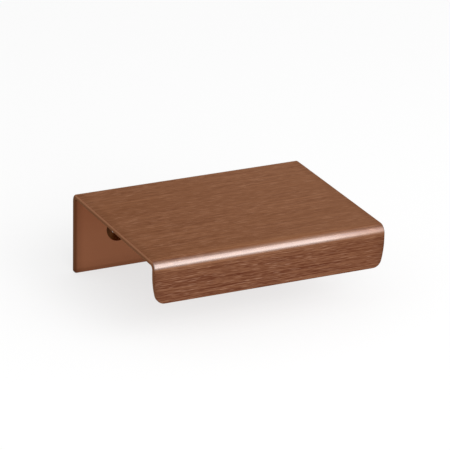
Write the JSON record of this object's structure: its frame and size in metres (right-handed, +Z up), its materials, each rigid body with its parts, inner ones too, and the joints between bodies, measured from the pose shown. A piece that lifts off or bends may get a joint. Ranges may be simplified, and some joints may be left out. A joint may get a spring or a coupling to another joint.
{
  "type": "tab pull",
  "caption": "Folded sheet-metal tab pull for a drawer or door: a screwed back plate, a flat ledge and a finger lip with rounded lower corners",
  "frame": {"origin": "on the mounting face of the back plate, midway between the two screw holes", "axes": "+X along the pull, to the right for the person who faces it; +Y into the drawer front or door that carries it; +Z up, towards the ledge"},
  "size_m": [0.052, 0.0418, 0.0181],
  "materials": {
    "brushed_copper": "fine straight brushing along the pull, in a brown copper colour"
  },
  "bodies": {
    "root": {"tab_pull": "brushed_copper"}
  },
  "joints": []
}
